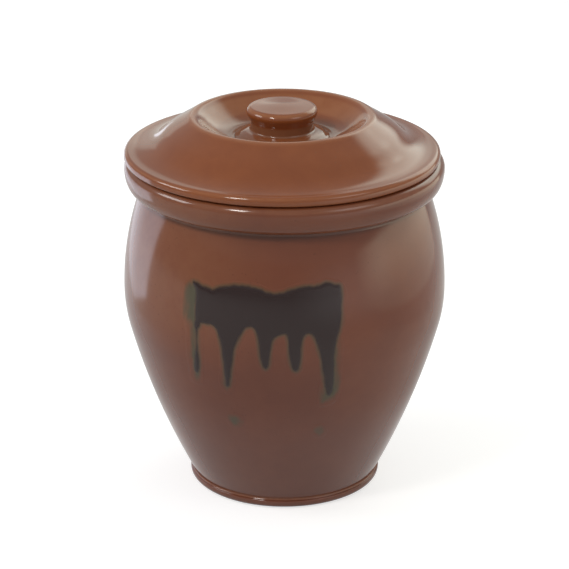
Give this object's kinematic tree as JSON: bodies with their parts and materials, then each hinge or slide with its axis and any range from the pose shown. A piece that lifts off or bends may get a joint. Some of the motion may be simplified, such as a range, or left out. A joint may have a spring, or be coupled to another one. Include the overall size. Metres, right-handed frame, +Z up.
{
  "type": "storage crock",
  "caption": "Round-bellied glazed stoneware storage crock with a rolled rim, a low foot and a loose ring-crested lid with a turned knob.",
  "frame": {"origin": "middle of the underside of the foot", "axes": "+Z up the jar's axis, the dark glaze pour faces -Y"},
  "size_m": [0.26, 0.2606, 0.3165],
  "materials": {
    "brown_glaze": "glossy red-brown glaze",
    "amber_glaze": "glossy amber-brown glaze",
    "dark_glaze": "glossy brownish black glaze"
  },
  "bodies": {
    "jar": {"jar_body": "brown_glaze", "dark_glaze_pour": "dark_glaze", "dark_glaze_drops": "dark_glaze"},
    "lid": {"lid_plate": "amber_glaze", "lid_knob": "amber_glaze"}
  },
  "joints": [
    {"name": "lid_lift", "type": "slide", "parent": "jar", "child": "lid", "axis": [0, 0, 1], "range_m": [0, 0.15]}
  ]
}
